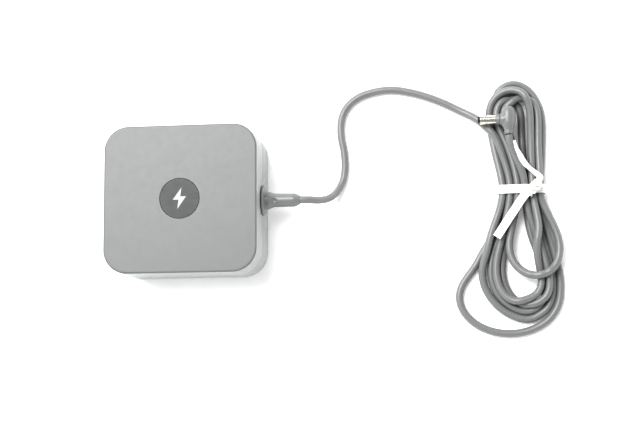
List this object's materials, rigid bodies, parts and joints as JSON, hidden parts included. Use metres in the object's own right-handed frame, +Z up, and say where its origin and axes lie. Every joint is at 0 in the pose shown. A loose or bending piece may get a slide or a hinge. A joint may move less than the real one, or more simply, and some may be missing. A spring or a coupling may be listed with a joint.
{
  "type": "laptop power adapter",
  "caption": "Low square laptop power adapter with round corners, a mains inlet, and a thin lead folded into a tied hank with a right-angle barrel plug.",
  "frame": {"origin": "under the middle of the housing, on the surface that it stands on", "axes": "+X is the side that the low-voltage lead leaves from, along the housing's longer side; the mains inlet faces -X; +Z is up, through the top face with the round emblem"},
  "size_m": [0.1927, 0.1102, 0.028],
  "materials": {
    "housing_plastic": "fine satin moulded light grey plastic",
    "emblem_plastic": "darker grey satin disc, plain",
    "label_film": "blank matt grey film",
    "black_plastic": "satin black moulded plastic",
    "white_plastic": "smooth white plastic",
    "cord_jacket": "smooth grey cord jacket with a soft shine",
    "nickel": "bright nickel plate, slightly warm",
    "copper_wire": "enamelled copper wire",
    "aluminium_sheet": "mill finish sheet",
    "board_laminate": "green solder mask on glass laminate",
    "ferrite": "dull dark grey ferrite",
    "insulation_paper": "grey insulating paper",
    "yellow_case": "yellow capacitor case",
    "blue_coating": "blue dipped coating",
    "green_coating": "green dipped coating",
    "fuse_ceramic": "white ceramic tube",
    "red_wire": "red wire insulation"
  },
  "bodies": {
    "root": {"bottom_housing": "housing_plastic", "top_cover": "housing_plastic", "emblem_disc": "emblem_plastic", "rating_label": "label_film", "ac_inlet_housing": "black_plastic", "inlet_pin_line": "nickel", "inlet_pin_neutral": "nickel", "dc_strain_relief": "cord_jacket", "insulation_sheet": "insulation_paper", "circuit_board": "board_laminate", "heat_spreader": "aluminium_sheet", "fuse": "fuse_ceramic", "thermistor": "green_coating", "x_capacitor": "yellow_case", "choke_core": "ferrite", "choke_winding_line": "copper_wire", "choke_winding_neutral": "copper_wire", "bridge_rectifier": "black_plastic", "bulk_capacitor": "black_plastic", "transformer_core": "ferrite", "transformer_bobbin": "black_plastic", "transformer_winding": "copper_wire", "primary_heatsink": "aluminium_sheet", "primary_switch": "black_plastic", "output_heatsink": "aluminium_sheet", "output_rectifier": "black_plastic", "output_capacitor_1": "blue_coating", "output_capacitor_2": "blue_coating", "y_capacitor": "blue_coating", "optocoupler": "white_plastic", "controller_chip": "black_plastic", "inlet_wire_line": "black_plastic", "inlet_wire_neutral": "white_plastic", "output_wire_positive": "red_wire", "output_wire_negative": "black_plastic", "dc_lead": "cord_jacket", "dc_lead_hank": "cord_jacket", "hank_tie": "white_plastic", "plug_body": "cord_jacket", "plug_collar": "cord_jacket", "plug_sleeve": "nickel", "plug_liner": "black_plastic", "plug_pin": "nickel"}
  },
  "joints": []
}
